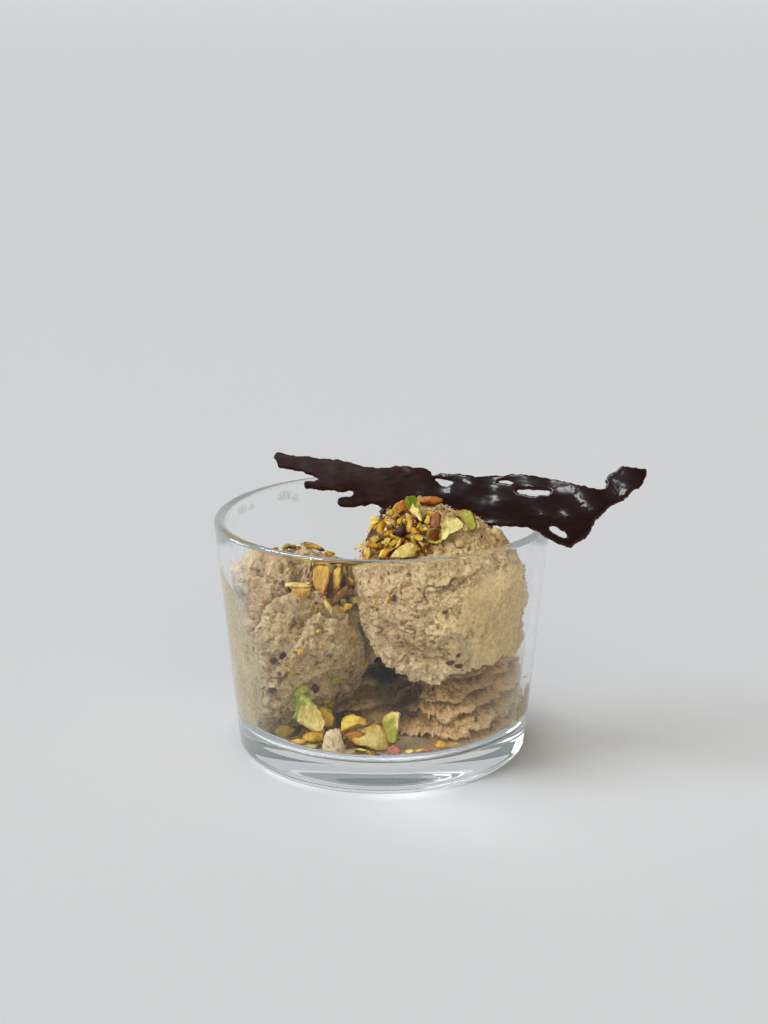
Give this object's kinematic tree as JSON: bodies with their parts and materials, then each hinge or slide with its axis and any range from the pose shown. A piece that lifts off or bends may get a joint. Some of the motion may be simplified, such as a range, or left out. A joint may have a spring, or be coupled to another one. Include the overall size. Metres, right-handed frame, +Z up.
{
  "type": "bowl of ice cream",
  "caption": "Low clear glass bowl of pistachio ice cream: round scoops on a torn mass, chopped nuts over them and on the glass floor, and a wavy dark chocolate shard across the rim",
  "frame": {"origin": "the middle of the flat underside of the glass, on the surface it stands on", "axes": "+Z up out of the glass's mouth; -Y is the front, where the pile of nuts shows through the glass; +X is to the right seen from the front, and the chocolate shard points that way past the rim"},
  "size_m": [0.1046, 0.0826, 0.0766],
  "materials": {
    "glass": "clear polished",
    "ice_cream": "rough, grey-beige, smooth where it is pressed on the glass",
    "pistachio": "matte, yellow-green to brown, with purple skins",
    "chocolate": "dark, part matte and part glossy"
  },
  "bodies": {
    "root": {"glass_bowl": "glass", "scoop_right": "ice_cream", "scoop_left": "ice_cream", "ice_cream_base": "ice_cream", "pistachio_heap": "pistachio", "chocolate_shard": "chocolate"}
  },
  "joints": []
}
